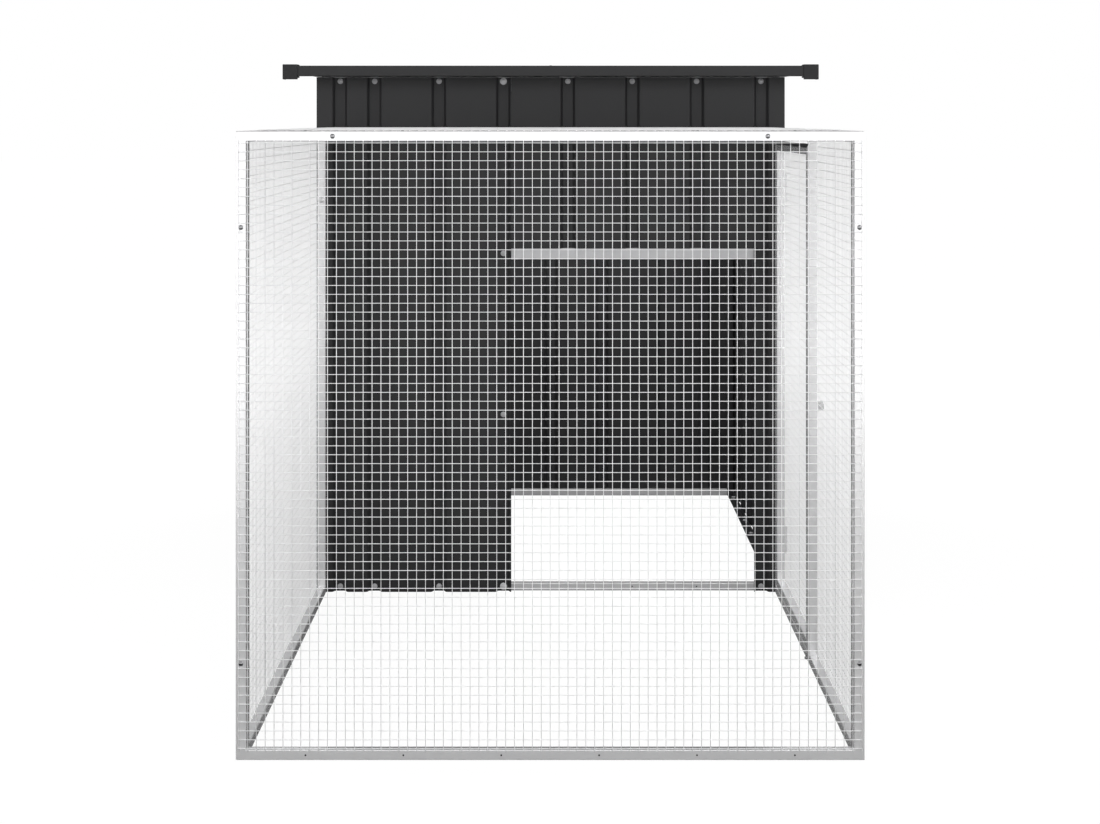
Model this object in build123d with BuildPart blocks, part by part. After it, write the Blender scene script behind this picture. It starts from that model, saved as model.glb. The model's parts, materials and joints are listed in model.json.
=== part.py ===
"""Chicken cage: a ribbed steel hen house with a wire run in front of it.

Millimetres. X runs across the cage, Y from the run's front (low) to the house's rear (high), Z up.
The origin lies on the ground, in the middle of the cage's outline.
"""

import os

from build123d import *

os.makedirs("parts", exist_ok=True)

# Square steel tube that all the frames are made of
tube = 16.0
tube_wall = 1.2

# Run: a front panel, two side panels of the same size, and a top panel between them
panel_width = 968.0
panel_height = 968.0

# Welded mesh on the outer faces of the frames
mesh_opening = 12.7
wire = 1.0
mesh_lap = 2.0
front_mesh_lap = 12.2

# Door in the rear half of the right side
door_gap = 4.0
door_top_gap = 14.5
door_bottom_gap = 3.0

# Butt hinges of the door
hinge_length = 54.0
hinge_spacing = 730.0
leaf_gauge = 1.5
leaf_width = 13.5
leaf_relief = 4.0
knuckle_radius = 3.5
knuckle_gap = 0.3
pin_radius = 2.0
pin_clearance = 0.05
pin_head_radius = 3.0
pin_head_height = 1.2

# Slide bolt of the door
latch_height = 463.0
latch_gauge = 1.5
latch_inset = 0.5
latch_plate_height = 44.0
keeper_plate_height = 30.0
barrel_radius = 5.5
rod_radius = 3.5
rod_clearance = 0.1
keeper_clearance = 0.3
rod_travel = 20.0
rod_setback = 1.0
rod_tail = 5.0
knob_stem_radius = 2.5
knob_radius = 4.5
knob_height = 4.0
knob_reach = 18.0

# House: a little wider and higher than the run that it closes
house_margin = 4.5
house_rise = 108.0
house_depth = 988.0
angle_gauge = 1.2
angle_foot = 14.0

# Ribbed wall and roof sheets, whose grooves seat on the frame
sheet_gauge = 0.7
sheet_drop = 2.0
groove_pitch = 134.7
groove_depth = 10.0
groove_mouth = 31.0
groove_floor = 22.0
groove_inset = 48.5
least_pan = 10.0

# Doorway between the run and the house
doorway_height = 693.0
header_height = 24.0
doorway_bays = 4
doorway_margin = 63.5
seam_lap = 1.0
seam_gap = 0.2

# Roof: a ribbed sheet in folded trims with plastic corner caps
roof_overhang = 62.0
trim_gauge = 0.7
trim_flange = 24.0
trim_rise = 10.0
cap_size = 31.0
cap_wall = 3.1
cap_clearance = 0.1
cap_skirt = 6.8
roof_sheet_gap = 0.4

# Places that follow from the sizes above
mesh_pitch = mesh_opening + wire
half_run = panel_width / 2
half_house = half_run + house_margin
house_height = panel_height + house_rise
roof_width = 2 * (half_house + roof_overhang)
rib = groove_depth + sheet_gauge
run_front = (2 * wire - tube - panel_width - house_depth - roof_overhang) / 2
side_front = run_front + tube
wall_front = side_front + panel_width
wall_rear = wall_front + house_depth
frame_front = wall_front + rib
frame_rear = wall_rear - rib
frame_side = half_house - rib
roof_front = wall_front - roof_overhang
roof_rear = wall_rear + roof_overhang
post_near = half_run - tube / 2
post_far = half_run + tube / 2
door_width = panel_width - tube - post_far - 2 * door_gap
door_height = panel_height - 2 * tube - door_top_gap - door_bottom_gap
door_front = side_front + post_far + door_gap
door_foot = tube + door_bottom_gap
hinge_y = door_front + door_width + door_gap / 2

# Planes on the outer faces of the panels, with x along the panel and z pointing out of the cage
front_plane = Plane(origin=(-half_run, run_front, 0), x_dir=(1, 0, 0), z_dir=(0, -1, 0))
left_plane = Plane(origin=(-half_run, wall_front, 0), x_dir=(0, -1, 0), z_dir=(-1, 0, 0))
right_plane = Plane(origin=(half_run, side_front, 0), x_dir=(0, 1, 0), z_dir=(1, 0, 0))
top_plane = Plane(origin=(tube - half_run, side_front, panel_height), x_dir=(1, 0, 0), z_dir=(0, 0, 1))
door_plane = Plane(origin=(half_run, door_front, door_foot), x_dir=(0, 1, 0), z_dir=(1, 0, 0))


def save(piece, label):
    """Name a finished piece and write it to its file."""
    piece.label = label
    export_step(piece, f"parts/{label}.step")


def mitred_tube(label, plane, length):
    """A tube of a panel frame: 45 degree mitres at both ends, open all through.

    The plane lies on the outer face, with x along the outer edge and y to the inside of the frame.
    """
    with BuildPart() as part:
        with BuildSketch(plane):
            with BuildLine():
                Polyline((0, 0), (length, 0), (length - tube, tube), (tube, tube), close=True)
            make_face()
        extrude(amount=-tube)
        with BuildSketch(plane.offset(-tube_wall)):
            with BuildLine():
                Polyline(
                    (tube_wall, tube_wall),
                    (length - tube_wall, tube_wall),
                    (length - tube + tube_wall, tube - tube_wall),
                    (tube - tube_wall, tube - tube_wall),
                    close=True,
                )
            make_face()
        extrude(amount=2 * tube_wall - tube, mode=Mode.SUBTRACT)
    save(part.part, label)


def panel_frame(labels, plane, width, height):
    """The four mitred tubes of a panel, from the low edge round by the far edge."""
    corners = (
        (0, 0, 0, width),
        (width, 0, 90, height),
        (width, height, 180, width),
        (0, height, 270, height),
    )
    for label, (along, up, turn, length) in zip(labels, corners):
        mitred_tube(label, Plane(plane.location * Location((along, up, 0), (0, 0, turn))), length)


def square_tube(label, plane, length, height=tube):
    """A tube with square ends that grows from the middle of the plane along its normal.

    A height other than the tube's own makes it a flat tube, with its height along the plane's y axis.
    """
    with BuildPart() as part:
        with BuildSketch(plane):
            Rectangle(tube, height)
            Rectangle(tube - 2 * tube_wall, height - 2 * tube_wall, mode=Mode.SUBTRACT)
        extrude(amount=length)
    save(part.part, label)


def wire_mesh(label, plane, width, height, lap=mesh_lap):
    """Welded mesh for a frame of this outer size: upright wires on the tubes, cross wires over them."""
    cross_length = width - 2 * tube + 2 * lap
    upright_length = height - 2 * tube + 2 * mesh_lap
    upright_count = int((cross_length - wire) // mesh_pitch) + 1
    cross_count = int((upright_length - wire) // mesh_pitch) + 1
    middle = Plane(plane.location * Location((width / 2, height / 2, 0)))
    with BuildPart() as uprights:
        with BuildSketch(middle):
            with GridLocations(mesh_pitch, mesh_pitch, upright_count, 1):
                Rectangle(wire, upright_length)
        extrude(amount=wire)
    with BuildPart() as cross_wires:
        with BuildSketch(middle.offset(wire)):
            with GridLocations(mesh_pitch, mesh_pitch, 1, cross_count):
                Rectangle(cross_length, wire)
        extrude(amount=wire)
    save(Compound(children=[uprights.part, cross_wires.part]), label)


def even_grooves(width):
    """Groove places that lie evenly about the middle of a sheet of this width."""
    each_side = int((width / 2 - groove_mouth / 2 - least_pan) // groove_pitch)
    return [width / 2 + n * groove_pitch for n in range(-each_side, each_side + 1)]


def ribbed_sheet(label, plane, width, grooves, length, cutout=None):
    """Folded sheet whose grooves seat on the plane's x axis and whose pans stand out along y.

    The sheet grows along the plane's normal. A cut-out is given by two corners, along x and up the sheet.
    """
    with BuildPart() as part:
        with BuildSketch(plane):
            with BuildLine():
                points = [(0, groove_depth)]
                for groove in grooves:
                    points.append((groove - groove_mouth / 2, groove_depth))
                    points.append((groove - groove_floor / 2, 0))
                    points.append((groove + groove_floor / 2, 0))
                    points.append((groove + groove_mouth / 2, groove_depth))
                points.append((width, groove_depth))
                Polyline(*points)
                offset(amount=sheet_gauge, side=Side.LEFT, kind=Kind.INTERSECTION)
            make_face()
        extrude(amount=length)
        if cutout:
            (near, low), (far, high) = cutout
            with BuildSketch(plane.offset(low)):
                with Locations(((near + far) / 2, rib / 2)):
                    Rectangle(far - near, 2 * rib)
            extrude(amount=high - low, mode=Mode.SUBTRACT)
    save(part.part, label)


# Front panel of the run
panel_frame(
    ("front_bottom_rail", "front_right_stile", "front_top_rail", "front_left_stile"),
    front_plane,
    panel_width,
    panel_height,
)
wire_mesh("front_mesh", front_plane, panel_width, panel_height, front_mesh_lap)

# Left panel
panel_frame(
    ("left_bottom_rail", "left_front_stile", "left_top_rail", "left_rear_stile"),
    left_plane,
    panel_width,
    panel_height,
)
wire_mesh("left_mesh", left_plane, panel_width, panel_height)

# Right panel: mesh in its front half, and a post that the door shuts against
panel_frame(
    ("right_bottom_rail", "right_rear_stile", "right_top_rail", "right_front_stile"),
    right_plane,
    panel_width,
    panel_height,
)
square_tube(
    "right_middle_post",
    Plane(origin=(half_run - tube / 2, side_front + half_run, tube)),
    panel_height - 2 * tube,
)
wire_mesh("right_mesh", right_plane, post_far, panel_height)

# Top panel, between the side panels
top_width = panel_width - 2 * tube
panel_frame(
    ("top_front_rail", "top_right_rail", "top_rear_rail", "top_left_rail"),
    top_plane,
    top_width,
    panel_width,
)
wire_mesh("top_mesh", top_plane, top_width, panel_width)

# Door frame and its mesh
panel_frame(
    ("door_bottom_rail", "door_rear_stile", "door_top_rail", "door_front_stile"),
    door_plane,
    door_width,
    door_height,
)
wire_mesh("door_mesh", door_plane, door_width, door_height)

# Door hinges: the fixed leaves carry the end knuckles, the door's leaves the middle one
hinge_middle = door_foot + door_height / 2
hinge_heights = (hinge_middle - hinge_spacing / 2, hinge_middle + hinge_spacing / 2)
middle_half = hinge_length / 6 - knuckle_gap / 2
end_start = hinge_length / 6 + knuckle_gap / 2
end_knuckles = ((-hinge_length / 2, -end_start), (end_start, hinge_length / 2))
middle_knuckle = ((-middle_half, middle_half),)


def hinge_leaves(label, side, knuckles):
    """One leaf of both hinges, on the given side of the hinge axis along Y."""
    with BuildPart() as leaves:
        for height in hinge_heights:
            axis = Plane(origin=(half_run, hinge_y, height))
            with BuildSketch(axis.offset(-hinge_length / 2)):
                with Locations((leaf_gauge / 2, side * (leaf_relief + leaf_width) / 2)):
                    Rectangle(leaf_gauge, leaf_width - leaf_relief)
            extrude(amount=hinge_length)
            for low, high in knuckles:
                with BuildSketch(axis.offset(low)):
                    with Locations((leaf_gauge / 2, side * leaf_relief / 2)):
                        Rectangle(leaf_gauge, leaf_relief)
                    with Locations((knuckle_radius, 0)):
                        Circle(knuckle_radius)
                        Circle(pin_radius + pin_clearance, mode=Mode.SUBTRACT)
                extrude(amount=high - low)
    save(leaves.part, label)


hinge_leaves("hinge_fixed_leaves", 1, end_knuckles)
hinge_leaves("hinge_door_leaves", -1, middle_knuckle)

with BuildPart() as hinge_pins:
    for height in hinge_heights:
        foot = Plane(origin=(half_run + knuckle_radius, hinge_y, height - hinge_length / 2))
        with BuildSketch(foot):
            Circle(pin_radius)
        extrude(amount=hinge_length)
        with BuildSketch(foot.offset(-pin_head_height), foot.offset(hinge_length)):
            Circle(pin_head_radius)
        extrude(amount=pin_head_height)
save(hinge_pins.part, "hinge_pins")

# Slide bolt: a plate with a round barrel on the door, a square keeper on the post, and the rod between them
rod_axis = latch_gauge + barrel_radius
guide_width = tube - mesh_lap - 2 * latch_inset
keeper_room = 2 * (rod_radius + keeper_clearance)
with BuildSketch() as barrel_strap:
    Circle(barrel_radius)
with BuildSketch() as barrel_hole:
    Circle(rod_radius + rod_clearance)
with BuildSketch() as keeper_strap:
    Rectangle(2 * barrel_radius, 2 * barrel_radius)
with BuildSketch() as keeper_hole:
    Rectangle(keeper_room, keeper_room)


def rod_guide(label, start, plate_height, strap, hole):
    """A plate with a strap folded over it, whose hole along Y the rod runs through."""
    with BuildPart() as guide:
        with BuildSketch(Plane(origin=(half_run, start, latch_height), x_dir=(0, 0, 1), z_dir=(0, 1, 0))):
            Rectangle(plate_height, latch_gauge, align=(Align.CENTER, Align.MIN))
            Rectangle(2 * barrel_radius, rod_axis, align=(Align.CENTER, Align.MIN))
            with Locations((0, rod_axis)):
                add(strap.sketch)
                add(hole.sketch, mode=Mode.SUBTRACT)
        extrude(amount=guide_width)
    save(guide.part, label)


guide_start = door_front + latch_inset
keeper_start = side_front + post_near + mesh_lap + latch_inset
rod_guide("latch_plate", guide_start, latch_plate_height, barrel_strap, barrel_hole)
rod_guide("latch_keeper", keeper_start, keeper_plate_height, keeper_strap, keeper_hole)

rod_start = guide_start + rod_setback
knob_y = guide_start + guide_width + latch_inset + knob_stem_radius + rod_travel
rod_length = knob_y + rod_tail - rod_start
with BuildPart() as latch_bolt:
    with BuildSketch(Plane(origin=(half_run + rod_axis, rod_start, latch_height), z_dir=(0, 1, 0))):
        Circle(rod_radius)
    extrude(amount=rod_length)
    knob = Plane(origin=(half_run + rod_axis, knob_y, latch_height), z_dir=(1, 0, 0))
    with BuildSketch(knob):
        Circle(knob_stem_radius)
    extrude(amount=knob_reach - rod_axis)
    with BuildSketch(knob.offset(knob_reach - rod_axis - knob_height)):
        Circle(knob_radius)
    extrude(amount=knob_height)
save(latch_bolt.part, "latch_bolt")

# Grooves of the house front, counted from its right end, with one more at its left end
end_groove = half_house - groove_inset
front_count = int((2 * end_groove - groove_mouth - least_pan) // groove_pitch) + 1
front_grooves = [end_groove - n * groove_pitch for n in range(front_count)] + [-end_groove]
doorway_post_x = end_groove - doorway_bays * groove_pitch
seam = doorway_post_x + groove_mouth / 2 + seam_lap

# House frame: posts at the corners and at the doorway, with rails at the foot and the top
post_height = house_height - tube
post_x = frame_side - tube / 2
front_y = frame_front + tube / 2
rear_y = frame_rear - tube / 2
rail_length = 2 * (post_x - tube / 2)
square_tube("house_front_left_post", Plane(origin=(-post_x, front_y, 0)), post_height)
square_tube("house_front_right_post", Plane(origin=(post_x, front_y, 0)), post_height)
square_tube("house_rear_left_post", Plane(origin=(-post_x, rear_y, 0)), post_height)
square_tube("house_rear_right_post", Plane(origin=(post_x, rear_y, 0)), post_height)
square_tube("doorway_post", Plane(origin=(doorway_post_x, front_y, tube)), post_height - tube)

header_left = doorway_post_x + tube / 2
header_middle = (header_left, front_y, doorway_height + header_height / 2)
square_tube(
    "doorway_header",
    Plane(origin=header_middle, x_dir=(0, 1, 0), z_dir=(1, 0, 0)),
    post_x - tube / 2 - header_left,
    header_height,
)
front_sill = Plane(origin=(-rail_length / 2, front_y, tube / 2), z_dir=(1, 0, 0))
rear_sill = Plane(origin=(-rail_length / 2, rear_y, tube / 2), z_dir=(1, 0, 0))
square_tube("threshold_rail", front_sill, rail_length)
square_tube("house_rear_base_rail", rear_sill, rail_length)

house_frame_depth = frame_rear - frame_front
panel_frame(
    ("house_front_top_rail", "house_right_top_rail", "house_rear_top_rail", "house_left_top_rail"),
    Plane(origin=(-frame_side, frame_front, house_height), x_dir=(1, 0, 0), z_dir=(0, 0, 1)),
    2 * frame_side,
    house_frame_depth,
)


def base_angle(label, side):
    """Angle on the ground along a side wall, with its foot towards the inside."""
    start = Plane(origin=(side * frame_side, frame_front + tube, 0), x_dir=(-side, 0, 0), z_dir=(0, side, 0))
    with BuildPart() as angle:
        with BuildSketch(start):
            with BuildLine():
                Polyline(
                    (0, 0),
                    (angle_foot, 0),
                    (angle_foot, angle_gauge),
                    (angle_gauge, angle_gauge),
                    (angle_gauge, tube),
                    (0, tube),
                    close=True,
                )
            make_face()
        extrude(amount=side * (house_frame_depth - 2 * tube))
    save(angle.part, label)


base_angle("house_left_base_angle", -1)
base_angle("house_right_base_angle", 1)

# House walls: two sheets at the front, the doorway cut from the right one, and one on each other side
sheet_height = house_height - sheet_drop
wall_width = house_depth - 2 * sheet_gauge
ribbed_sheet(
    "front_left_sheet",
    Plane(origin=(seam, frame_front, 0), x_dir=(-1, 0, 0), z_dir=(0, 0, 1)),
    half_house + seam,
    sorted(seam - x for x in front_grooves if x < seam),
    sheet_height,
)
ribbed_sheet(
    "front_right_sheet",
    Plane(origin=(half_house, frame_front, 0), x_dir=(-1, 0, 0), z_dir=(0, 0, 1)),
    half_house - seam - seam_gap,
    sorted(half_house - x for x in front_grooves if x > seam),
    sheet_height,
    cutout=((doorway_margin, 0), (half_house - seam, doorway_height + header_height)),
)
ribbed_sheet(
    "rear_sheet",
    Plane(origin=(-half_house, frame_rear, 0), x_dir=(1, 0, 0), z_dir=(0, 0, 1)),
    2 * half_house,
    even_grooves(2 * half_house),
    sheet_height,
)
ribbed_sheet(
    "left_sheet",
    Plane(origin=(-frame_side, wall_front + sheet_gauge, 0), x_dir=(0, 1, 0), z_dir=(0, 0, 1)),
    wall_width,
    even_grooves(wall_width),
    sheet_height,
)
ribbed_sheet(
    "right_sheet",
    Plane(origin=(frame_side, wall_rear - sheet_gauge, 0), x_dir=(0, -1, 0), z_dir=(0, 0, 1)),
    wall_width,
    even_grooves(wall_width),
    sheet_height,
)

# Roof sheet: its grooves rest on the top rails and run from front to rear
trim_inset = cap_wall + cap_clearance
sheet_inset = trim_inset + trim_gauge + roof_sheet_gap
roof_sheet_width = roof_width - 2 * sheet_inset
roof_sheet_depth = roof_rear - roof_front - 2 * sheet_inset
roof_pairs = int((roof_sheet_width / 2 + groove_pitch / 2 - groove_mouth / 2 - trim_flange) // groove_pitch)
roof_grooves = [roof_sheet_width / 2 + (n + 1 / 2) * groove_pitch for n in range(-roof_pairs, roof_pairs)]
eave = (roof_sheet_width / 2, roof_front + sheet_inset, house_height)
ribbed_sheet(
    "roof_sheet",
    Plane(origin=eave, x_dir=(-1, 0, 0), z_dir=(0, 1, 0)),
    roof_sheet_width,
    roof_grooves,
    roof_sheet_depth,
)

# Roof trims: folded channels, deep at the ends of the grooves and shallow along the flat sides
trim_top = house_height + rib + trim_rise
end_trim_height = trim_top - house_height + trim_gauge
side_trim_height = end_trim_height - groove_depth
trim_width = roof_width - 2 * trim_inset
trim_depth = roof_rear - roof_front - 2 * trim_inset
trim_corner = (-trim_width / 2, roof_front + trim_inset, trim_top)
trim_plane = Plane(origin=trim_corner, x_dir=(1, 0, 0), z_dir=(0, 0, 1))
trim_corners = (
    ("roof_front_trim", 0, 0, 0, trim_width, end_trim_height),
    ("roof_right_trim", trim_width, 0, 90, trim_depth, side_trim_height),
    ("roof_rear_trim", trim_width, trim_depth, 180, trim_width, end_trim_height),
    ("roof_left_trim", 0, trim_depth, 270, trim_depth, side_trim_height),
)
for label, along, back, turn, length, height in trim_corners:
    side = Plane(trim_plane.location * Location((along, back, 0), (0, 0, turn)))
    inner_edge = ((length - trim_flange, trim_flange), (trim_flange, trim_flange))
    with BuildPart() as trim:
        with BuildSketch(side):
            with BuildLine():
                Polyline((0, 0), (length, 0), *inner_edge, close=True)
            make_face()
        extrude(amount=-height)
        with BuildSketch(side.offset(-trim_gauge)):
            with BuildLine():
                Polyline((trim_gauge, trim_gauge), (length - trim_gauge, trim_gauge), *inner_edge, close=True)
            make_face()
        extrude(amount=2 * trim_gauge - height, mode=Mode.SUBTRACT)
    save(trim.part, label)

# Corner caps: moulded covers over the trims' mitres, open to the two trims and below
cap_inner = cap_size - cap_wall
cap_room = end_trim_height + 2 * cap_clearance
cap_floor = trim_top + cap_clearance - cap_room - cap_skirt
cap_corners = (
    Location((-roof_width / 2, roof_front, cap_floor)),
    Location((roof_width / 2, roof_front, cap_floor), (0, 0, 90)),
    Location((roof_width / 2, roof_rear, cap_floor), (0, 0, 180)),
    Location((-roof_width / 2, roof_rear, cap_floor), (0, 0, 270)),
)
low_corner = (Align.MIN, Align.MIN, Align.MIN)
with BuildPart() as roof_corner_caps:
    for corner in cap_corners:
        with Locations(corner):
            Box(cap_size, cap_size, cap_size, align=low_corner)
        with Locations(corner * Location((cap_wall, cap_wall, cap_skirt))):
            Box(cap_inner, cap_inner, cap_room, align=low_corner, mode=Mode.SUBTRACT)
        with Locations(corner * Location((cap_wall, cap_wall, 0))):
            Box(cap_inner, cap_inner, cap_skirt - cap_wall, align=low_corner, mode=Mode.SUBTRACT)
save(roof_corner_caps.part, "roof_corner_caps")
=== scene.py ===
# %% [markdown]
# # A hen house with a wire run
#
# This lesson dresses a CAD model of a chicken cage: a small house of ribbed anthracite sheet behind a run
# of square galvanised tube and welded wire. The CAD model is loaded first and stays as the fixed frame: it
# says where every tube, sheet and hinge is, in metres, with Z up and the run's front at -Y. Nothing that
# is added later may make the cage larger.

# %% Load the frame
import json
import math

import bmesh
import bpy
from mathutils import Matrix, Vector


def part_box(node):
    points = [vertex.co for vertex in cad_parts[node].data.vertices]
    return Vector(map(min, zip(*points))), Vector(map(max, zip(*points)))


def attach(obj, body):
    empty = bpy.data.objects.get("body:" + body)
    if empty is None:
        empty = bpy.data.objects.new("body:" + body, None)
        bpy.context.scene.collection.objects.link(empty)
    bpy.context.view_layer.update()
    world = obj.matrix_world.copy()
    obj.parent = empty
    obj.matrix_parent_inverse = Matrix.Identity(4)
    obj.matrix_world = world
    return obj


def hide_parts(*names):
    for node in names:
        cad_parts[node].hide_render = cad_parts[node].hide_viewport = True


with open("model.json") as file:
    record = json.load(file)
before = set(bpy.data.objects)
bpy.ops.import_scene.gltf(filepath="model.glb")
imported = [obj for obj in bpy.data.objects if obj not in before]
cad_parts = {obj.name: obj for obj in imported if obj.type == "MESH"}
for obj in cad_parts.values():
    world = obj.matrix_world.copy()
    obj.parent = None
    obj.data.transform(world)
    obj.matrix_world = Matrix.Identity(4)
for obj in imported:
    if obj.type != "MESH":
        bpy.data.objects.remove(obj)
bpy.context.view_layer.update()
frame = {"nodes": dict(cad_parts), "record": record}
nodes = sorted(frame["nodes"])
scene = bpy.context.scene

# %% [markdown]
# ## The camera
#
# The photograph looks straight at the run's front, and its vanishing point lies high in the picture. A
# photographer gets that by holding the camera level and shifting the lens, and Blender's camera has the
# same shift. So the camera stands level at the vanishing point's height, and the shift moves the frame down
# onto the cage.

# %% Camera
photo_width = 1100
photo_height = 824
vanishing_x = 552
vanishing_y = 120
focal_pixels = 1794
camera_distance = 2.76
camera_side = 0.0028
camera_height = 0.985
run_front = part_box("front_bottom_rail")[0][1]

camera_data = bpy.data.cameras.new("camera")
camera_data.sensor_width = 36
camera_data.lens = focal_pixels / photo_width * camera_data.sensor_width
camera_data.shift_x = (photo_width / 2 - vanishing_x) / photo_width
camera_data.shift_y = (vanishing_y - photo_height / 2) / photo_width
camera_data.clip_end = 200
camera = bpy.data.objects.new("camera", camera_data)
camera.location = (camera_side, run_front - camera_distance, camera_height)
camera.rotation_euler = (math.radians(90), 0, 0)
scene.collection.objects.link(camera)
scene.camera = camera
shift = [round(value, 4) for value in (camera_data.shift_x, camera_data.shift_y)]
print("lens", round(camera_data.lens, 2), "shift", shift)

# %% [markdown]
# ## Light and floor
#
# The cage stands in an even white studio. The world glows in a band along the horizon and is dimmer
# overhead, as a studio with bright walls is. In reflections the band reaches higher in front than behind.
# Six lamps stand around the cage at its own height, so their light passes under the top mesh and the upper
# wires aren't shaded by it. A high lamp in front lights what faces up, and one under the house's roof keeps
# the inside readable through the doorway. These lamps stay out of the reflections. One small lamp shows in
# them, as a spark on each bolt. The background is plain white only for the camera, so it adds no light.
#
# The floor is a plain grey paper that is lifted to white where the camera sees it. In a reflection only its
# far part is lifted. That is why the tubes are bright above and calm grey near the ground, as satin metal
# is in a studio.
#
# World, floor and materials are all made of nodes, so three small helpers come first: one adds any node,
# one does a sum with a Math node, and one turns a range of numbers into another.

# %% Node helpers
def node(tree, kind, links=(), **settings):
    """Add a node, set its properties, and link or fill its inputs by name or number."""
    made = tree.nodes.new(kind)
    for key, value in settings.items():
        setattr(made, key, value)
    for key, value in dict(links).items():
        if isinstance(value, bpy.types.NodeSocket):
            tree.links.new(value, made.inputs[key])
        else:
            made.inputs[key].default_value = value
    return made


def calculate(tree, operation, *values):
    """The result of a Math node."""
    return node(tree, "ShaderNodeMath", enumerate(values), operation=operation).outputs[0]


def ranged(tree, source, source_range, result_range, easing="LINEAR"):
    """Turn a number that runs through one range into one that runs through another."""
    numbers = (source, *source_range, *result_range)
    return node(tree, "ShaderNodeMapRange", enumerate(numbers), interpolation_type=easing).outputs[0]


print("node helpers ready")

# %% World
scene.view_settings.view_transform = "Standard"
world = bpy.data.worlds.new("studio")
scene.world = world
world.use_nodes = True
tree = world.node_tree
tree.nodes.clear()
white = (1, 1, 1, 1)
front_lean = 0.25
wall_edge = (0.2, 0.5)
wall_light = (1.0, 0.3)
band_edge = (0.08, 0.30)
band_light = (2.2, 0.55)

rays = node(tree, "ShaderNodeLightPath").outputs
direct = calculate(tree, "MAXIMUM", rays["Is Camera Ray"], rays["Is Glossy Ray"])
seen = calculate(tree, "MAXIMUM", direct, rays["Is Transmission Ray"])
direction = node(tree, "ShaderNodeTexCoord").outputs["Generated"]
parts = node(tree, "ShaderNodeSeparateXYZ", {0: direction}).outputs
height = calculate(tree, "MULTIPLY_ADD", parts["Y"], front_lean, parts["Z"])
horizon = ranged(tree, height, wall_edge, wall_light, "SMOOTHSTEP")
plain = calculate(tree, "MAXIMUM", horizon, rays["Is Camera Ray"])
band = ranged(tree, parts["Z"], band_edge, band_light, "SMOOTHSTEP")
soft_sky = node(tree, "ShaderNodeBackground", {"Color": white, "Strength": band}).outputs[0]
white_wall = node(tree, "ShaderNodeBackground", {"Color": white, "Strength": plain}).outputs[0]
choose = node(tree, "ShaderNodeMixShader", {0: seen, 1: soft_sky, 2: white_wall})
node(tree, "ShaderNodeOutputWorld", {"Surface": choose.outputs[0]})
print("world nodes:", len(tree.nodes))

# %% Lamps
lamp_height = 0.6
lamp_size = 1.1
run_heart = (0, -0.4, lamp_height)
house_foot = (0, 0.45, 0)


def soft_lamp(name, place, target, size, power, mirrored=False):
    """A square area lamp that looks at a point, hidden from the camera and, unless mirrored, from gloss."""
    data = bpy.data.lights.new(name, "AREA")
    data.shape = "SQUARE"
    data.size = size
    data.energy = power
    lamp = bpy.data.objects.new(name, data)
    lamp.location = place
    lamp.rotation_euler = (Vector(target) - Vector(place)).to_track_quat("-Z", "Y").to_euler()
    lamp.visible_camera = False
    lamp.visible_glossy = mirrored
    scene.collection.objects.link(lamp)


def lamp_pair(name, place, target, power):
    """The same lamp on the left and on the right. Its name holds a place for the side."""
    x, y, z = place
    for side, word in ((-1, "left"), (1, "right")):
        soft_lamp(name.format(word), (side * x, y, z), target, lamp_size, power)


lamp_pair("front_{}_lamp", (1.2, -6.0, lamp_height), run_heart, power=54)
soft_lamp("high_lamp", (0, -5.0, 3.0), (0, -0.5, 0.9), size=1.6, power=62)
soft_lamp("spark_lamp", (2.4, -4.6, 2.8), (0, -1.0, 0.5), size=0.7, power=9, mirrored=True)
lamp_pair("{}_lamp", (5.0, -0.6, lamp_height), run_heart, power=80)
lamp_pair("rear_{}_lamp", (3.2, 3.6, 0.8), (0, 0, lamp_height), power=90)
soft_lamp("house_lamp", (0, 0.45, 1.05), house_foot, size=0.8, power=12)

# %% Floor
floor_reach = 40
floor_mesh = bpy.data.meshes.new("floor")
bm = bmesh.new()
bmesh.ops.create_grid(bm, x_segments=1, y_segments=1, size=floor_reach)
bm.to_mesh(floor_mesh)
bm.free()
floor = bpy.data.objects.new("floor", floor_mesh)
scene.collection.objects.link(floor)
print("floor size:", floor.dimensions[:])

# %% Floor paper
paper = bpy.data.materials.new("studio_floor")
paper.use_nodes = True
tree = paper.node_tree
tree.nodes.clear()
paper_grey = (0.07, 0.07, 0.07, 1)
lift_reach = (1.85, 5.0)
lift_light = (0.945, 0.96)

matt = node(tree, "ShaderNodeBsdfDiffuse", {"Color": paper_grey}).outputs[0]
rays = node(tree, "ShaderNodeLightPath").outputs
place = node(tree, "ShaderNodeTexCoord").outputs["Object"]
reach = node(tree, "ShaderNodeVectorMath", {0: place}, operation="LENGTH").outputs["Value"]
far = ranged(tree, reach, lift_reach, (0, 1), "SMOOTHSTEP")
mirrored = calculate(tree, "MULTIPLY", rays["Is Glossy Ray"], far)
seen = calculate(tree, "MAXIMUM", rays["Is Camera Ray"], mirrored)
whiteness = ranged(tree, far, (0, 1), lift_light)
lift = calculate(tree, "MULTIPLY", seen, whiteness)
glow = node(tree, "ShaderNodeEmission", {"Strength": lift}).outputs[0]
both = node(tree, "ShaderNodeAddShader", {0: matt, 1: glow}).outputs[0]
node(tree, "ShaderNodeOutputMaterial", {"Surface": both})
floor_mesh.materials.append(paper)
print("floor paper nodes:", len(tree.nodes))

# %% [markdown]
# ## Finishes
#
# Three effects are shared by several materials, so each is a node group that is built once: the frost-like
# spangle of hot-dip zinc, the fine drawing lines of tube and wire, and the light orange peel of powder
# paint. A group only puts out masks and heights, and each material decides what to do with them. All
# patterns read Object coordinates, so they stay on the metal when the door swings.

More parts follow.
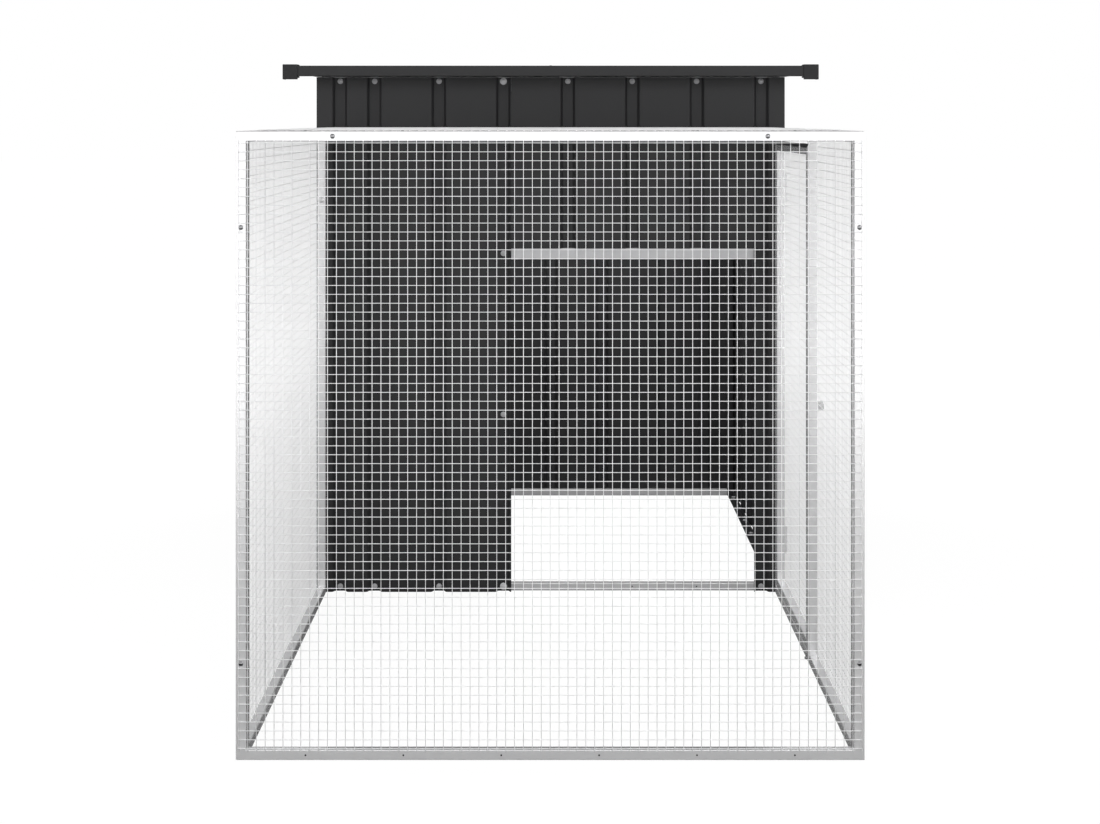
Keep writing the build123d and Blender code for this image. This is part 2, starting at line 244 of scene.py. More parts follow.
# %% Node group helper
def effect_group(name, inputs, outputs):
    """An empty shader node group with named number sockets and object coordinates ready to use."""
    group = bpy.data.node_groups.new(name, "ShaderNodeTree")
    for socket, value in inputs.items():
        made = group.interface.new_socket(name=socket, in_out="INPUT", socket_type="NodeSocketFloat")
        made.default_value = value
    for socket in outputs:
        group.interface.new_socket(name=socket, in_out="OUTPUT", socket_type="NodeSocketFloat")
    start = group.nodes.new("NodeGroupInput").outputs
    end = group.nodes.new("NodeGroupOutput").inputs
    place = node(group, "ShaderNodeTexCoord").outputs["Object"]
    return group, start, end, place


print("node group helper ready")

# %% Spangle: the crystal flowers of hot-dip zinc
spangle_sizes = {"Scale": 120, "Cloud Scale": 9}
bend_reach = (0.006, 0.006, 0.006)
spangle, start, end, place = effect_group("zinc_spangle", spangle_sizes, ["Flower", "Cloud"])
warp = node(spangle, "ShaderNodeTexNoise", {"Vector": place, "Scale": 60, "Detail": 2}).outputs["Color"]
bent = node(spangle, "ShaderNodeVectorMath", {0: warp, 1: bend_reach}, operation="MULTIPLY").outputs[0]
moved = node(spangle, "ShaderNodeVectorMath", {0: place, 1: bent}, operation="ADD").outputs[0]
cells = node(spangle, "ShaderNodeTexVoronoi", {"Vector": moved, "Scale": start["Scale"]}).outputs["Color"]
tone = node(spangle, "ShaderNodeSeparateColor", {0: cells}).outputs[0]
cloud = node(spangle, "ShaderNodeTexNoise", {"Vector": place, "Scale": start["Cloud Scale"], "Detail": 4})
spangle.links.new(tone, end["Flower"])
spangle.links.new(cloud.outputs[0], end["Cloud"])
print(spangle.name, len(spangle.nodes), "nodes")

# %% Drawing lines: fine streaks along tube and wire
streaks, start, end, place = effect_group("drawing_lines", {"Across": 900, "Along": 14}, ["Streak"])
stretch = node(streaks, "ShaderNodeCombineXYZ", {0: start["Across"], 1: start["Across"], 2: start["Along"]})
drawn = node(streaks, "ShaderNodeVectorMath", {0: place, 1: stretch.outputs[0]}, operation="MULTIPLY")
grain = node(streaks, "ShaderNodeTexNoise", {"Vector": drawn.outputs[0], "Scale": 1, "Detail": 3})
streaks.links.new(grain.outputs[0], end["Streak"])
print(streaks.name, len(streaks.nodes), "nodes")

# %% Orange peel: the pebbled skin of powder paint and of moulded plastic
peel, start, end, place = effect_group("orange_peel", {"Scale": 700, "Patch Scale": 6}, ["Peel", "Patch"])
pebble = node(peel, "ShaderNodeTexNoise", {"Vector": place, "Scale": start["Scale"], "Detail": 2})
patch = node(peel, "ShaderNodeTexNoise", {"Vector": place, "Scale": start["Patch Scale"], "Detail": 5})
peel.links.new(pebble.outputs[0], end["Peel"])
peel.links.new(patch.outputs[0], end["Patch"])
print(peel.name, len(peel.nodes), "nodes")

# %% [markdown]
# ## Materials
#
# Zinc on tube is pale and satin, with spangle in both its colour and its gloss. Zinc on wire is the same
# metal with a finer grain. The sheet is a dark satin powder paint, the caps are a matt moulded plastic, the
# panel bolts are bright plated steel and the sheets' screws a duller one. Pictures of these finishes would
# have to be unwrapped onto every piece, and a pattern in space needs no such step. A number that never
# changes, such as how metallic a finish is, is typed on the shader itself.

# %% Material helpers
middle_of_mask = (0.25, 0.75)


def new_material(name, metallic, specular):
    """A material with a Principled shader, its plain numbers set on the shader's own sockets."""
    material = bpy.data.materials.new(name)
    material.use_nodes = True
    shader = material.node_tree.nodes["Principled BSDF"].inputs
    shader["Metallic"].default_value = metallic
    shader["Specular IOR Level"].default_value = specular
    return material, material.node_tree, shader


def effect(tree, group, **values):
    """Place a shared effect in a material with its own values."""
    made = node(tree, "ShaderNodeGroup", node_tree=group)
    for key, value in values.items():
        made.inputs[key.replace("_", " ")].default_value = value
    return made.outputs


def ramp(tree, source, low, high, low_at=0.3, high_at=0.7):
    """Turn a mask into a colour between two tones."""
    made = node(tree, "ShaderNodeValToRGB", {0: source})
    first, last = made.color_ramp.elements
    first.position = low_at
    first.color = (*low, 1)
    last.position = high_at
    last.color = (*high, 1)
    return made.outputs["Color"]


def bump(tree, shader, height, strength, distance):
    """Give the shader a bump from a height."""
    made = node(tree, "ShaderNodeBump", {"Height": height, "Strength": strength, "Distance": distance})
    tree.links.new(made.outputs[0], shader["Normal"])


print("material helpers ready")

# %% Galvanised tube and wire
flower_depth = 0.975
cloud_tone = (0.975, 0.975, 0.98)
clear_tone = (1, 1, 1)


def zinc(name, tone, grain, rough, metallic=1.0):
    """Galvanised steel with spangle, clouding and drawing lines."""
    material, tree, shader = new_material(name, metallic, specular=0.5)
    flowers = effect(tree, spangle, Scale=grain, Cloud_Scale=9)
    streak = effect(tree, streaks)["Streak"]
    dark_tone = [flower_depth * part for part in tone]
    flower_color = ramp(tree, flowers["Flower"], dark_tone, tone, low_at=0.1, high_at=0.9)
    cloud_color = ramp(tree, flowers["Cloud"], cloud_tone, clear_tone)
    mixed = node(tree, "ShaderNodeMix", {0: 1.0, 6: flower_color, 7: cloud_color},
                 data_type="RGBA", blend_type="MULTIPLY")
    tree.links.new(mixed.outputs[2], shader["Base Color"])
    summed = calculate(tree, "ADD", flowers["Flower"], streak)
    gloss = calculate(tree, "MULTIPLY", summed, 0.5)
    tree.links.new(ranged(tree, gloss, middle_of_mask, (rough - 0.02, rough + 0.03)), shader["Roughness"])
    bump(tree, shader, streak, strength=0.03, distance=0.0001)
    return material


tube_zinc = zinc("galvanised_tube", (0.965, 0.965, 0.97), grain=120, rough=0.22, metallic=0.62)
# The house's frame tubes get a rougher zinc whose colour is darkened as painted shade.
shade_darkened_zinc = zinc("dull_shade_darkened_tube", (0.57, 0.57, 0.58), grain=120, rough=0.44, metallic=0.45)
wire_zinc = zinc("galvanised_wire", (0.90, 0.90, 0.905), grain=500, rough=0.45, metallic=0.22)
hinge_zinc = zinc("galvanised_hinge", (0.85, 0.85, 0.855), grain=300, rough=0.34, metallic=0.55)
fitting_zinc = zinc("plated_steel", (0.56, 0.56, 0.57), grain=800, rough=0.18)
bolt_zinc = zinc("polished_steel", (0.45, 0.45, 0.46), grain=800, rough=0.12)
screw_zinc = zinc("dull_plated_steel", (0.44, 0.44, 0.45), grain=800, rough=0.50, metallic=0.3)
pale_zinc = zinc("pale_plated_steel", (0.60, 0.60, 0.61), grain=800, rough=0.50, metallic=0.3)
zincs = (tube_zinc, shade_darkened_zinc, wire_zinc, hinge_zinc, fitting_zinc, bolt_zinc, screw_zinc, pale_zinc)
print("zinc:", [material.name for material in zincs])

# %% Anthracite paint, plastic and the painted shade of a hole
def paint(name, low, high, rough, peel_scale, peel_strength):
    """Satin paint or plastic with a pebbled skin and faint patches."""
    material, tree, shader = new_material(name, metallic=0.0, specular=0.36)
    skin = effect(tree, peel, Scale=peel_scale, Patch_Scale=7)
    tree.links.new(ramp(tree, skin["Patch"], low, high), shader["Base Color"])
    roughness = ranged(tree, skin["Patch"], middle_of_mask, (rough - 0.05, rough + 0.06))
    tree.links.new(roughness, shader["Roughness"])
    bump(tree, shader, skin["Peel"], peel_strength, distance=0.0002)
    return material


sheet_paint = paint("anthracite_paint", (0.0190, 0.0190, 0.0200), (0.0230, 0.0230, 0.0240),
                    rough=0.46, peel_scale=900, peel_strength=0.25)
cap_plastic = paint("black_plastic", (0.016, 0.016, 0.017), (0.021, 0.021, 0.022),
                    rough=0.58, peel_scale=1600, peel_strength=0.45)
# The near-black of a hole is painted shade for its dark inside.
painted_hole_shade = paint("painted_hole_shade", (0.004, 0.004, 0.004), (0.008, 0.008, 0.008),
                  rough=0.8, peel_scale=900, peel_strength=0.1)
print("paints:", [material.name for material in (sheet_paint, cap_plastic, painted_hole_shade)])

# %% [markdown]
# ## Turning a mesh into a piece
#
# Every new piece ends the same way: it becomes an object at the origin, it gets a material, and it rides on
# a body of the frame. All but the wires are first shaded smooth except at real corners. On all but wires,
# fasteners and holes, weighted normals keep the wide flat faces flat beside their small rounded edges.

# %% Piece helpers
corner_angle = math.radians(40)


def add_piece(bm, name, material, replaces=(), body="frame"):
    """Turn a bmesh into an object that rides on a body."""
    mesh = bpy.data.meshes.new(name)
    bm.to_mesh(mesh)
    bm.free()
    mesh.materials.append(material)
    piece = bpy.data.objects.new(name, mesh)
    scene.collection.objects.link(piece)
    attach(piece, body)
    if replaces:
        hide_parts(*replaces)
    return piece


def even_shading(piece):
    """Let the wide faces of a piece decide how its edges are shaded."""
    shading = piece.modifiers.new("even_shading", "WEIGHTED_NORMAL")
    shading.keep_sharp = True


def make_piece(bm, name, material, replaces=(), body="frame", even=True):
    """Add a bmesh as a piece that is smooth except at its corners."""
    for face in bm.faces:
        face.smooth = True
    for edge in bm.edges:
        edge.smooth = len(edge.link_faces) == 2 and edge.calc_face_angle() < corner_angle
    piece = add_piece(bm, name, material, replaces, body)
    if even:
        even_shading(piece)
    return piece


bodies = frame["record"]["behaviour"]["bodies"]
body_of = {name: body for body, names in bodies.items() for name in names}
print("door nodes:", [name for name in nodes if body_of[name] == "door"])

# %% [markdown]
# ## Tubes
#
# A square tube is rolled, so its long edges are round while its cut ends stay sharp. The CAD tubes have
# square edges, and a Bevel modifier would round the ends too. So each tube is copied, its triangles are
# merged back into flat faces, and a bevel rounds only the outer edges that run along the tube. The copy
# keeps the mitres and the open inside.

# %% Rounding helpers
def merged_copy(name):
    """A bmesh copy of a CAD node with its triangles merged into flat faces."""
    bm = bmesh.new()
    bm.from_mesh(frame["nodes"][name].data)
    bmesh.ops.remove_doubles(bm, verts=bm.verts, dist=1e-6)
    bmesh.ops.dissolve_limit(bm, angle_limit=math.radians(1), verts=bm.verts, edges=bm.edges)
    return bm


def round_edges(bm, edges, radius, segments=3):
    """Round the given edges."""
    bmesh.ops.bevel(bm, geom=edges, offset=radius, offset_type="OFFSET", segments=segments, profile=0.5,
                    affect="EDGES", material=-1, clamp_overlap=True)


aligned = 0.999


def long_edges(bm, name, least):
    """Outer edges above a least length that run along the axis on which a node is longest."""
    low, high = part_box(name)
    size = list(high - low)
    axis = size.index(max(size))
    found = []
    for edge in bm.edges:
        run = edge.verts[1].co - edge.verts[0].co
        if edge.is_convex and run.length > least and abs(run[axis]) > aligned * run.length:
            found.append(edge)
    return found


print("rounding helpers ready")

# %% Rounded copies of the tubes
tube_radius = 0.0016
tube_least = 0.1
painted_posts = ("house_rear_left_post", "house_rear_right_post")
tube_nodes = [name for name in nodes if name.split("_")[-1] in ("stile", "rail", "post", "header")]
for name in tube_nodes:
    bm = merged_copy(name)
    round_edges(bm, long_edges(bm, name, tube_least), tube_radius)
    finish, slot = tube_zinc, "galvanised_tube"
    if name in painted_posts:
        finish, slot = sheet_paint, "anthracite_sheet"
    # Tubes at the doorway and the house's top rails take the zinc darkened with painted shade.
    elif name.startswith("doorway") or name.startswith("house") and name.endswith("top_rail"):
        finish = shade_darkened_zinc
    make_piece(bm, name + "_tube", finish, [name], body_of[name])
print("tubes:", len(tube_nodes))

# %% [markdown]
# ## Ribbed sheets
#
# Wall and roof sheets are folded from thin steel: wide flat pans with narrow grooves between them. Folding
# leaves a small radius at each bend, which catches a line of light, and boxes set side by side would lack
# it. So each sheet starts as a line of a few corner points, a vertex bevel rounds the bends, one extrusion
# gives it height, and a Solidify modifier gives it the sheet's gauge. The doorway is cut before that, so
# its edges get the gauge too.

# %% Sheet helpers
gauge = 0.0007
groove_depth = 0.010
groove_mouth = 0.031
groove_floor = 0.022
bend = 0.0021
rightward = (1, 0, 0)
leftward = (-1, 0, 0)
rearward = (0, 1, 0)
forward = (0, -1, 0)
upward = (0, 0, 1)


def cut_opening(bm, right, top):
    """Cut a sheet at an opening's right edge and at its top, and drop the faces inside."""
    for point, normal in (((right, 0, 0), rightward), ((0, 0, top), upward)):
        whole = bm.verts[:] + bm.edges[:] + bm.faces[:]
        bmesh.ops.bisect_plane(bm, geom=whole, dist=1e-6, plane_co=point, plane_no=normal)
    inside = []
    for face in bm.faces:
        middle = face.calc_center_median()
        if middle.x < right and middle.z < top:
            inside.append(face)
    bmesh.ops.delete(bm, geom=inside, context="FACES")


def ribbed_sheet(name, corner, along, outward, up, width, length, grooves, opening=None):
    """A folded sheet that starts at a corner and stands for the CAD node of the same name."""
    points = [(0, groove_depth)]
    for groove in grooves:
        points += [(groove - groove_mouth / 2, groove_depth), (groove - groove_floor / 2, 0),
                   (groove + groove_floor / 2, 0), (groove + groove_mouth / 2, groove_depth)]
    points.append((width, groove_depth))
    corner, along, outward, up = Vector(corner), Vector(along), Vector(outward), Vector(up)
    bm = bmesh.new()
    verts = [bm.verts.new(corner + along * x + outward * (y + gauge / 2)) for x, y in points]
    edges = [bm.edges.new(pair) for pair in zip(verts, verts[1:])]
    folds = [vert for vert, (x, _) in zip(verts, points) if 2 * bend < x < width - 2 * bend]
    bmesh.ops.bevel(bm, geom=folds + edges, offset=bend, offset_type="OFFSET", segments=4, profile=0.5,
                    affect="VERTICES", material=-1)
    raised = bmesh.ops.extrude_edge_only(bm, edges=bm.edges[:])
    top = [part for part in raised["geom"] if isinstance(part, bmesh.types.BMVert)]
    bmesh.ops.translate(bm, verts=top, vec=up * length)
    if opening:
        cut_opening(bm, *opening)
    bmesh.ops.recalc_face_normals(bm, faces=bm.faces[:])
    piece = make_piece(bm, name + "_folded", sheet_paint, [name], even=False)
    thick = piece.modifiers.new("gauge", "SOLIDIFY")
    thick.thickness = gauge
    thick.offset = 0
    even_shading(piece)


print("sheet gauge", gauge)

# %% Wall measures
half_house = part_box("rear_sheet")[1][0]
wall_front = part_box("front_left_sheet")[0][1]
wall_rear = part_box("rear_sheet")[1][1]
rib = groove_depth + gauge
frame_front = wall_front + rib
frame_rear = wall_rear - rib
frame_side = half_house - rib
house_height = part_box("house_front_top_rail")[1][2]
sheet_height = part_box("rear_sheet")[1][2]
pitch = 0.1347
outer_groove = 0.440
front_grooves = [outer_groove - n * pitch for n in range(7)] + [-outer_groove]
post_groove = front_grooves[4]
seam_lap = 0.001
seam_gap = 0.0002
seam = post_groove + groove_mouth / 2 + seam_lap
doorway_right = 0.425
doorway_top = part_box("doorway_header")[1][2]
print("front grooves:", [round(x, 4) for x in front_grooves])

# %% Wall sheets
def even_grooves(width):
    """Seven grooves about the middle of a sheet."""
    return [width / 2 + n * pitch for n in range(-3, 4)]


ribbed_sheet("front_left_sheet", (seam, frame_front, 0), leftward, forward, upward,
             width=half_house + seam, length=sheet_height,
             grooves=sorted(seam - x for x in front_grooves if x < seam))
ribbed_sheet("front_right_sheet", (half_house, frame_front, 0), leftward, forward, upward,
             width=half_house - seam - seam_gap, length=sheet_height,
             grooves=sorted(half_house - x for x in front_grooves if x > seam),
             opening=(doorway_right, doorway_top))
ribbed_sheet("rear_sheet", (-half_house, frame_rear, 0), rightward, rearward, upward,
             width=2 * half_house, length=sheet_height, grooves=even_grooves(2 * half_house))
side_width = wall_rear - wall_front - 2 * gauge
for side, name in ((-1, "left_sheet"), (1, "right_sheet")):
    ribbed_sheet(name, (side * frame_side, wall_front + gauge, 0), rearward, (side, 0, 0), upward,
                 width=side_width, length=sheet_height, grooves=even_grooves(side_width))
print("side sheets:", round(side_width, 4), "wide")

# %% Roof sheet
low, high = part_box("roof_sheet")
roof_width = high[0] - low[0]
roof_grooves = [roof_width / 2 + (n - 3.5) * pitch for n in range(8)]
ribbed_sheet("roof_sheet", (low[0], low[1], house_height), rightward, upward, rearward,
             width=roof_width, length=high[1] - low[1], grooves=roof_grooves)
print("roof sheet:", round(roof_width, 4), "wide")

# %% [markdown]
# ## Welded mesh
#
# The mesh is 1 mm wire on a 13.7 mm pitch, and its zinc coat makes it a little thicker. Upright wires lie on
# the tubes, and cross wires lie over them, sunk a little where the weld pressed them together. A Wireframe
# modifier would put all of them in one plane. Hundreds of wires are needed, so each is a six-sided rod with
# smooth sides, which looks round at its real size and costs few faces. No edge of a rod is marked as sharp,
# so its shading leans towards its ends and the light changes softly along the wire.

# %% Mesh helpers
wire = 0.001
coated = 0.0011
mesh_pitch = 0.0137
mesh_lap = 0.002
front_lap = 0.0122
weld_sink = 0.00015
post_low, post_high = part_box("right_middle_post")
tube = post_high[0] - post_low[0]


def set_along(spot, direction):
    """The matrix that sets a shape at a spot with its Z axis along a direction."""
    turn = Vector(upward).rotation_difference(Vector(direction)).to_matrix().to_4x4()
    return Matrix.Translation(spot) @ turn


def wire_panel(name, corner, across, up, outward, width, height, lap=mesh_lap):
    """The round wires of one mesh panel, laid out as its CAD node is."""
    across, up, outward = Vector(across), Vector(up), Vector(outward)
    middle = Vector(corner) + across * (width / 2) + up * (height / 2)
    cross_length = width - 2 * tube + 2 * lap
    upright_length = height - 2 * tube + 2 * mesh_lap
    layers = ((across, up, upright_length, cross_length, 0.5 * wire),
              (up, across, cross_length, upright_length, 1.5 * wire - weld_sink))
    bm = bmesh.new()
    count = 0
    for step, run, length, room, rise in layers:
        number = int((room - wire + 1e-7) // mesh_pitch) + 1
        for n in range(number):
            spot = middle + step * ((n - (number - 1) / 2) * mesh_pitch) + outward * rise
            bmesh.ops.create_cone(bm, cap_ends=True, segments=6, radius1=coated / 2, radius2=coated / 2,
                                  depth=length, matrix=set_along(spot, run))
        count += number
    for face in bm.faces:
        face.smooth = len(face.verts) == 4
    add_piece(bm, name + "_wires", wire_zinc, [name], body_of[name])
    return count


print("mesh pitch", mesh_pitch, "tube", round(tube, 4))

# %% Mesh panels
half_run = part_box("front_bottom_rail")[1][0]
run_width = 2 * half_run
run_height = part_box("front_left_stile")[1][2]
side_front = run_front + tube
door_low, door_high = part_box("door_front_stile")[0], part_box("door_rear_stile")[1]
wires = wire_panel("front_mesh", (-half_run, run_front, 0), rightward, upward, forward,
                   run_width, run_height, front_lap)
wires += wire_panel("left_mesh", (-half_run, side_front, 0), rearward, upward, leftward,
                    run_width, run_height)
wires += wire_panel("right_mesh", (half_run, side_front, 0), rearward, upward, rightward,
                    half_run + tube / 2, run_height)
wires += wire_panel("top_mesh", (tube - half_run, side_front, run_height), rightward, rearward, upward,
                    run_width - 2 * tube, run_width)
wires += wire_panel("door_mesh", (half_run, *door_low[1:]), rearward, upward, rightward,
                    door_high[1] - door_low[1], door_high[2] - door_low[2])
print("wires:", wires)

# %% [markdown]
# ## Roof edge and base angles
#
# The roof's rim is a folded channel whose corners are covered by moulded plastic caps, and the side walls
# stand in dark angles on the ground. Their CAD forms are right, so each is copied: the rim gets tight folds
# along its length, the plastic gets softer edges, and the thin angles stay as they are.

# %% Trims, angles and caps
trim_fold = 0.0012
trim_least = 1.05
cap_round = 0.0016
cap_least = 0.020


def outer_edges(bm, least, bent):
    """All outward corners longer than a given length and bent by more than a given angle."""
    return [edge for edge in bm.edges if len(edge.link_faces) == 2 and edge.is_convex
            and edge.calc_length() > least and edge.calc_face_angle() > math.radians(bent)]


for side in ("front", "rear", "left", "right"):
    name = f"roof_{side}_trim"
    bm = merged_copy(name)
    round_edges(bm, long_edges(bm, name, trim_least), trim_fold)
    make_piece(bm, name + "_folded", sheet_paint, [name])
for name in ("house_left_base_angle", "house_right_base_angle"):
    make_piece(merged_copy(name), name + "_folded", sheet_paint, [name])
bm = merged_copy("roof_corner_caps")
round_edges(bm, outer_edges(bm, cap_least, bent=60), cap_round, segments=4)
make_piece(bm, "roof_corner_caps_moulded", cap_plastic, ["roof_corner_caps"])
print("roof edge done")

# %% [markdown]
# ## Door fittings
#
# The door hangs on two butt hinges and is held by a slide bolt. These are small pressed and turned pieces
# of zinc-coated steel. Copies of the CAD forms with eased edges are enough, and small screws hold their
# plates. A black strip lies along the door's top edge and makes a dark band there. It is a box with all its
# edges rounded.

# %% Hinges and slide bolt
fitting_round = 0.0003
fitting_least = 0.003
hinge_parts = ("hinge_fixed_leaves", "hinge_door_leaves", "hinge_pins")
latch_parts = ("latch_plate", "latch_keeper", "latch_bolt")
for name in hinge_parts + latch_parts:
    bm = merged_copy(name)
    round_edges(bm, outer_edges(bm, fitting_least, bent=80), fitting_round, segments=2)
    finish = hinge_zinc if name in hinge_parts else fitting_zinc
    make_piece(bm, name + "_plated", finish, [name], body_of[name])
print("fittings:", len(hinge_parts + latch_parts))

# %% Edge strip of the door
strip_wall = 0.0006
strip_gap = 0.003
strip_height = 0.0066
strip_sink = 0.0002
strip_round = 0.0008
# A black box along the door's top edge makes a dark band there.
strip_size = (tube + 2 * strip_wall, door_high[1] - door_low[1] - 2 * strip_gap, strip_height)
strip_middle = (half_run - tube / 2, (door_low[1] + door_high[1]) / 2, door_high[2] - strip_sink)
strip_shape = Matrix.Translation(strip_middle) @ Matrix.Diagonal((*strip_size, 1))
strip = bmesh.new()
bmesh.ops.create_cube(strip, size=1, matrix=strip_shape)
round_edges(strip, strip.edges[:], strip_round, segments=2)
make_piece(strip, "door_edge_strip", cap_plastic, body="door")
print("door strip:", [round(s, 4) for s in strip_size])

# %% [markdown]
# ## Fasteners
#
# Dome-headed bolts with nuts hold the panels together, broad screws hold the sheets in their grooves, small
# screws hold the hinges and the latch, and rivets sit on the run's front rail and on the roof's rim. Each
# kind of head is turned once from a half profile with a spin, and the nut starts as a six-sided cone.
# Copies of an object would each be a piece of their own. So the shapes are kept as small meshes and stamped
# into a few pieces, at every place that the photograph shows or that such a cage needs. A few screw holes
# in the rails are empty, and dark discs just proud of the tube stand for them. Their near-black is painted
# shade for the inside of each hole.

# %% Turning and stamping
def keep_shape(bm, name):
    """Keep a bmesh as a mesh that can be stamped."""
    mesh = bpy.data.meshes.new(name)
    bm.to_mesh(mesh)
    bm.free()
    return mesh


def turned(name, profile, steps):
    """Spin a half profile, given as radius and height, round Z and keep the closed shape."""
    bm = bmesh.new()
    verts = [bm.verts.new((radius, 0, height)) for radius, height in profile]
    edges = [bm.edges.new(pair) for pair in zip(verts, verts[1:])]
    bmesh.ops.spin(bm, geom=verts + edges, cent=(0, 0, 0), axis=upward, dvec=(0, 0, 0), angle=math.tau,
                   steps=steps, use_merge=True)
    bmesh.ops.remove_doubles(bm, verts=bm.verts, dist=1e-7)
    bmesh.ops.recalc_face_normals(bm, faces=bm.faces[:])
    return keep_shape(bm, name)


def stamp(target, shape, place, direction):
    """Add a copy of a shape whose Z axis turns to a direction."""
    start = len(target.verts)
    target.from_mesh(shape)
    target.verts.ensure_lookup_table()
    bmesh.ops.transform(target, matrix=set_along(place, direction), verts=target.verts[start:])


print("stamping helpers ready")

# %% Heads and screws
def dome(radius, height, sink=0.0004, rings=5):
    """Half profile of a domed head that is sunk a little into its seat."""
    angles = [ring * math.pi / 2 / rings for ring in range(rings)]
    arc = [(radius * math.cos(angle), height * math.sin(angle)) for angle in angles]
    return [(0, -sink), (radius, -sink)] + arc + [(0, height)]


wall_profile = [(0, -0.0003), (0.0058, -0.0003), (0.0058, 0.0006), (0.0048, 0.0012),
                (0.0036, 0.0016), (0.0032, 0.0026), (0.0020, 0.0032), (0, 0.0034)]
post_profile = [(0, -0.0003), (0.0073, -0.0003), (0.0073, 0.0007), (0.0062, 0.0013),
                (0.0046, 0.0017), (0.0041, 0.0030), (0.0026, 0.0038), (0, 0.0040)]
tip_profile = [(0, -0.0005), (0.0021, -0.0005), (0.0021, 0.0060), (0.0008, 0.0090), (0, 0.0094)]
bolt_head = turned("bolt_head", dome(radius=0.0039, height=0.0019), steps=20)
wall_screw = turned("wall_screw", wall_profile, steps=20)
post_screw = turned("post_screw", post_profile, steps=20)
screw_tip = turned("screw_tip", tip_profile, steps=12)
small_screw = turned("small_screw", dome(radius=0.0026, height=0.0009), steps=14)
rivet = turned("rivet", dome(radius=0.0030, height=0.0011), steps=14)
print("faces of a wall screw:", len(wall_screw.polygons))

# %% Hex nut
nut_radius = 0.0044
nut_height = 0.004
nut_middle = 0.0018
nut_ease = 0.0003
thread_radius = 0.0025
thread_tip = 0.0022
thread_length = 0.004
thread_middle = 0.0040
bm = bmesh.new()
bmesh.ops.create_cone(bm, cap_ends=True, segments=6, radius1=nut_radius, radius2=nut_radius,
                      depth=nut_height, matrix=Matrix.Translation((0, 0, nut_middle)))
round_edges(bm, bm.edges[:], nut_ease, segments=1)
bmesh.ops.create_cone(bm, cap_ends=True, segments=12, radius1=thread_radius, radius2=thread_tip,
                      depth=thread_length, matrix=Matrix.Translation((0, 0, thread_middle)))
hex_nut = keep_shape(bm, "hex_nut")
print("nut faces:", len(hex_nut.polygons))

# %% Panel bolts
bolt_reach = 24.5 * mesh_pitch
bolt_heights = (run_height / 2 - bolt_reach, run_height / 2 + bolt_reach)
bolt_x = half_run - tube / 2
top_bolt = (0.335, run_height - tube / 2)
bolts = bmesh.new()
for side in (-1, 1):
    for x, z in [(bolt_x, height) for height in bolt_heights] + [top_bolt]:
        stamp(bolts, bolt_head, (side * x, run_front, z), forward)
        stamp(bolts, hex_nut, (side * x, side_front + tube, z), rearward)
post_y = side_front + half_run
stamp(bolts, bolt_head, (half_run, post_y, tube / 2), rightward)
stamp(bolts, hex_nut, (half_run - tube, post_y, tube / 2), leftward)
make_piece(bolts, "panel_bolts", bolt_zinc, even=False)
print("bolt heights:", [round(z, 4) for z in bolt_heights])

# %% Front screws
low_row = 0.0095
high_row = 1.066
post_rows = (0.369, 0.706)
face_front = frame_front - gauge
screws = bmesh.new()
post_screws = bmesh.new()
for x in front_grooves:
    target, head = (post_screws, post_screw) if x == post_groove else (screws, wall_screw)
    stamp(target, head, (x, face_front, high_row), forward)
    if not seam < x < doorway_right:
        stamp(target, head, (x, face_front, low_row), forward)
for z in post_rows:
    stamp(screws, wall_screw, (post_groove, face_front, z), forward)
print("screw rows:", low_row, *post_rows, high_row)

# %% Side, rear and roof screws
tip_start = 0.0012
stile_screw_height = 0.8186
house_middle = (wall_front + wall_rear) / 2
for n in range(-3, 4):
    y = house_middle + n * pitch
    for z in (low_row, high_row):
        stamp(screws, wall_screw, (n * pitch, frame_rear + gauge, z), rearward)
        for side in (-1, 1):
            stamp(screws, wall_screw, (side * (frame_side + gauge), y, z), (side, 0, 0))
    for side in (-1, 1):
        stamp(screws, screw_tip, (side * (frame_side - tip_start), y, low_row), (-side, 0, 0))
for groove in roof_grooves:
    x = groove - roof_width / 2
    if abs(x) < frame_side:
        for y in (frame_front + tube / 2, frame_rear - tube / 2):
            stamp(screws, wall_screw, (x, y, house_height + gauge), upward)
make_piece(screws, "sheet_screws", screw_zinc, even=False)
stile_screw = bmesh.new()
stamp(stile_screw, wall_screw, (-bolt_x, wall_front - tube, stile_screw_height), forward)
make_piece(stile_screw, "stile_screw", hinge_zinc, even=False)
make_piece(post_screws, "post_screws", pale_zinc, even=False)
print("roof screws in", sum(abs(groove - roof_width / 2) < frame_side for groove in roof_grooves), "grooves")

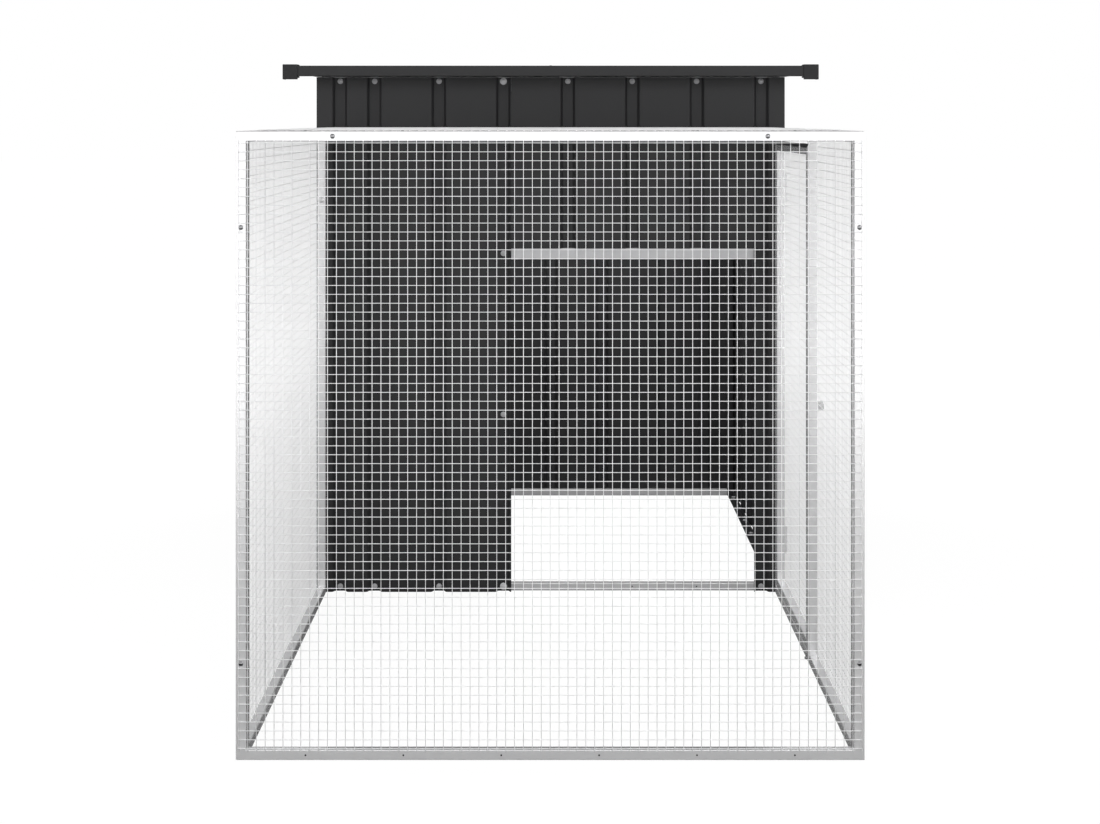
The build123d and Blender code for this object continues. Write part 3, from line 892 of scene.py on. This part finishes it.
# %% Rivets and small screws
rivet_places = (0.228, 0.378)
plate = 0.0015
hinge_reach = 0.365
leaf_side = 0.0088
leaf_rise = 0.018
keeper_rise = 0.011
latch_rise = 0.015


def middle_of(name):
    """The middle of a node's box."""
    low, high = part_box(name)
    return (low + high) / 2


def plate_screws(target, y, heights):
    """Small screws on a plate at the door's side of the run."""
    for z in heights:
        stamp(target, small_screw, (half_run + plate, y, z), rightward)


hinges = middle_of("hinge_pins")
keeper = middle_of("latch_keeper")
latch = middle_of("latch_plate")
hinge_heights = (hinges.z - hinge_reach, hinges.z + hinge_reach)
leaf_rows = [height + rise for height in hinge_heights for rise in (-leaf_rise, leaf_rise)]
small = bmesh.new()
for side in (-1, 1):
    for x in rivet_places:
        stamp(small, rivet, (side * x, run_front + tube / 2, run_height), upward)
for name in ("roof_front_trim", "roof_rear_trim"):
    stamp(small, rivet, (0, middle_of(name).y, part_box(name)[1][2]), upward)
plate_screws(small, hinges.y + leaf_side, leaf_rows)
plate_screws(small, keeper.y, (keeper.z - keeper_rise, keeper.z + keeper_rise))
make_piece(small, "rivets_and_screws", fitting_zinc, even=False)
door_small = bmesh.new()
plate_screws(door_small, hinges.y - leaf_side, leaf_rows)
plate_screws(door_small, latch.y, (latch.z - latch_rise, latch.z + latch_rise))
make_piece(door_small, "door_screws", fitting_zinc, body="door", even=False)
print("hinge screws at", [round(z, 4) for z in leaf_rows])

# %% Empty screw holes in the rails
hole_radius = 0.0015
hole_proud = 0.0001
hole_step = 0.1506
run_hole_height = 0.0077
house_hole_height = 0.009
facing = Matrix.Rotation(math.radians(90), 4, "X")
spots = [((n + 0.5) * hole_step, run_front, run_hole_height) for n in range(-3, 3)]
spots += [(x, frame_front, house_hole_height) for x in front_grooves[1:4]]
holes = bmesh.new()
for x, y, z in spots:
    bmesh.ops.create_circle(holes, cap_ends=True, segments=12, radius=hole_radius,
                            matrix=Matrix.Translation((x, y - hole_proud, z)) @ facing)
# The dark discs are painted shade for the inside of the empty holes.
make_piece(holes, "rail_holes", painted_hole_shade, even=False)
print("holes:", len(spots))
